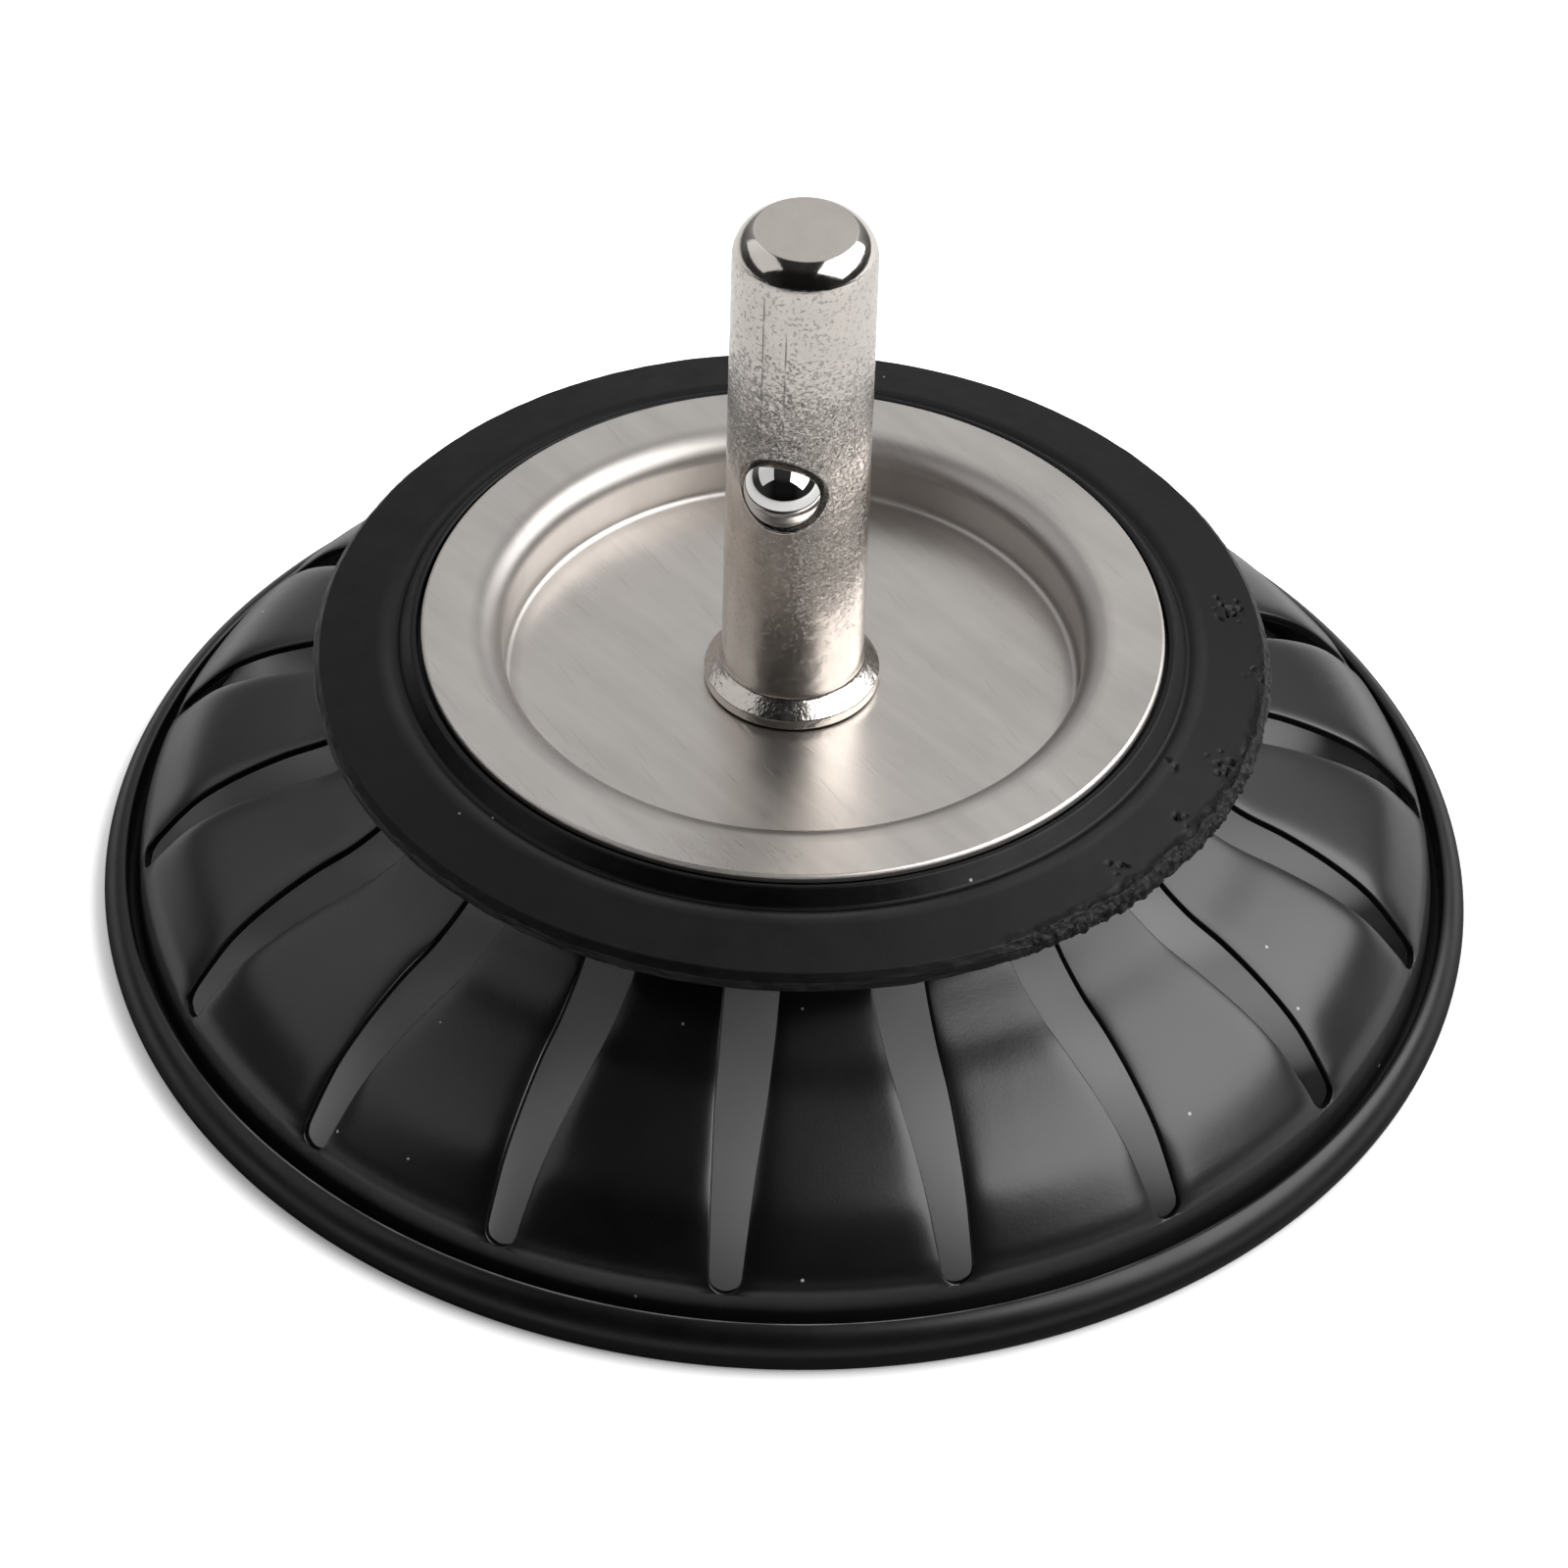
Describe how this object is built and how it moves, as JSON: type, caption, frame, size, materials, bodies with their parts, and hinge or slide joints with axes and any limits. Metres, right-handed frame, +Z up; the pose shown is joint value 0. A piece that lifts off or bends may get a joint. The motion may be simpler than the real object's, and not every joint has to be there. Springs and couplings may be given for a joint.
{
  "type": "basket strainer plug",
  "caption": "Sink basket-strainer plug lying upside down: slotted black basket, rubber seal, steel dish, ball-detent spindle and a pull knob in the bowl.",
  "frame": {"origin": "centre of the rim ring's flat underside, on the surface the plug stands on, with the plug upside down", "axes": "+Z up the spindle; the front ball points 14.4 degrees from -Y towards -X"},
  "size_m": [0.084, 0.084, 0.0514],
  "materials": {
    "black_coated_steel": "satin black coating on pressed stainless steel",
    "black_plastic": "satin moulded black",
    "rim_black": "satin black edge trim",
    "black_rubber": "matt black rubber",
    "brushed_steel": "straight-brushed stainless steel",
    "nickel": "nickel plate over a slightly pebbled casting",
    "chrome": "polished ball",
    "spring_steel": "drawn spring wire",
    "brass": "turned brass"
  },
  "bodies": {
    "plug": {"strainer_basket": "black_coated_steel", "rim_ring": "rim_black", "seal": "black_rubber", "retaining_dish": "brushed_steel", "spindle": "nickel", "detent_spring": "spring_steel", "spindle_o_ring": "black_rubber", "backing_washer": "brushed_steel", "lock_washer": "spring_steel", "clamp_nut": "brushed_steel", "knob_insert": "brass", "pull_knob": "black_plastic"},
    "ball_front": {"detent_ball_front": "chrome"},
    "ball_rear": {"detent_ball_rear": "chrome"}
  },
  "joints": [
    {"name": "front_ball_slide", "type": "slide", "parent": "plug", "child": "ball_front", "axis": [0.2487, 0.9686, 0], "range_m": [0, 0.0007], "stiffness_N_per_m": 200, "springref_m": -0.002, "deforming": ["detent_spring"]},
    {"name": "rear_ball_slide", "type": "slide", "parent": "plug", "child": "ball_rear", "axis": [-0.2487, -0.9686, 0], "range_m": [0, 0.0007], "stiffness_N_per_m": 200, "springref_m": -0.002, "deforming": ["detent_spring"]}
  ]
}
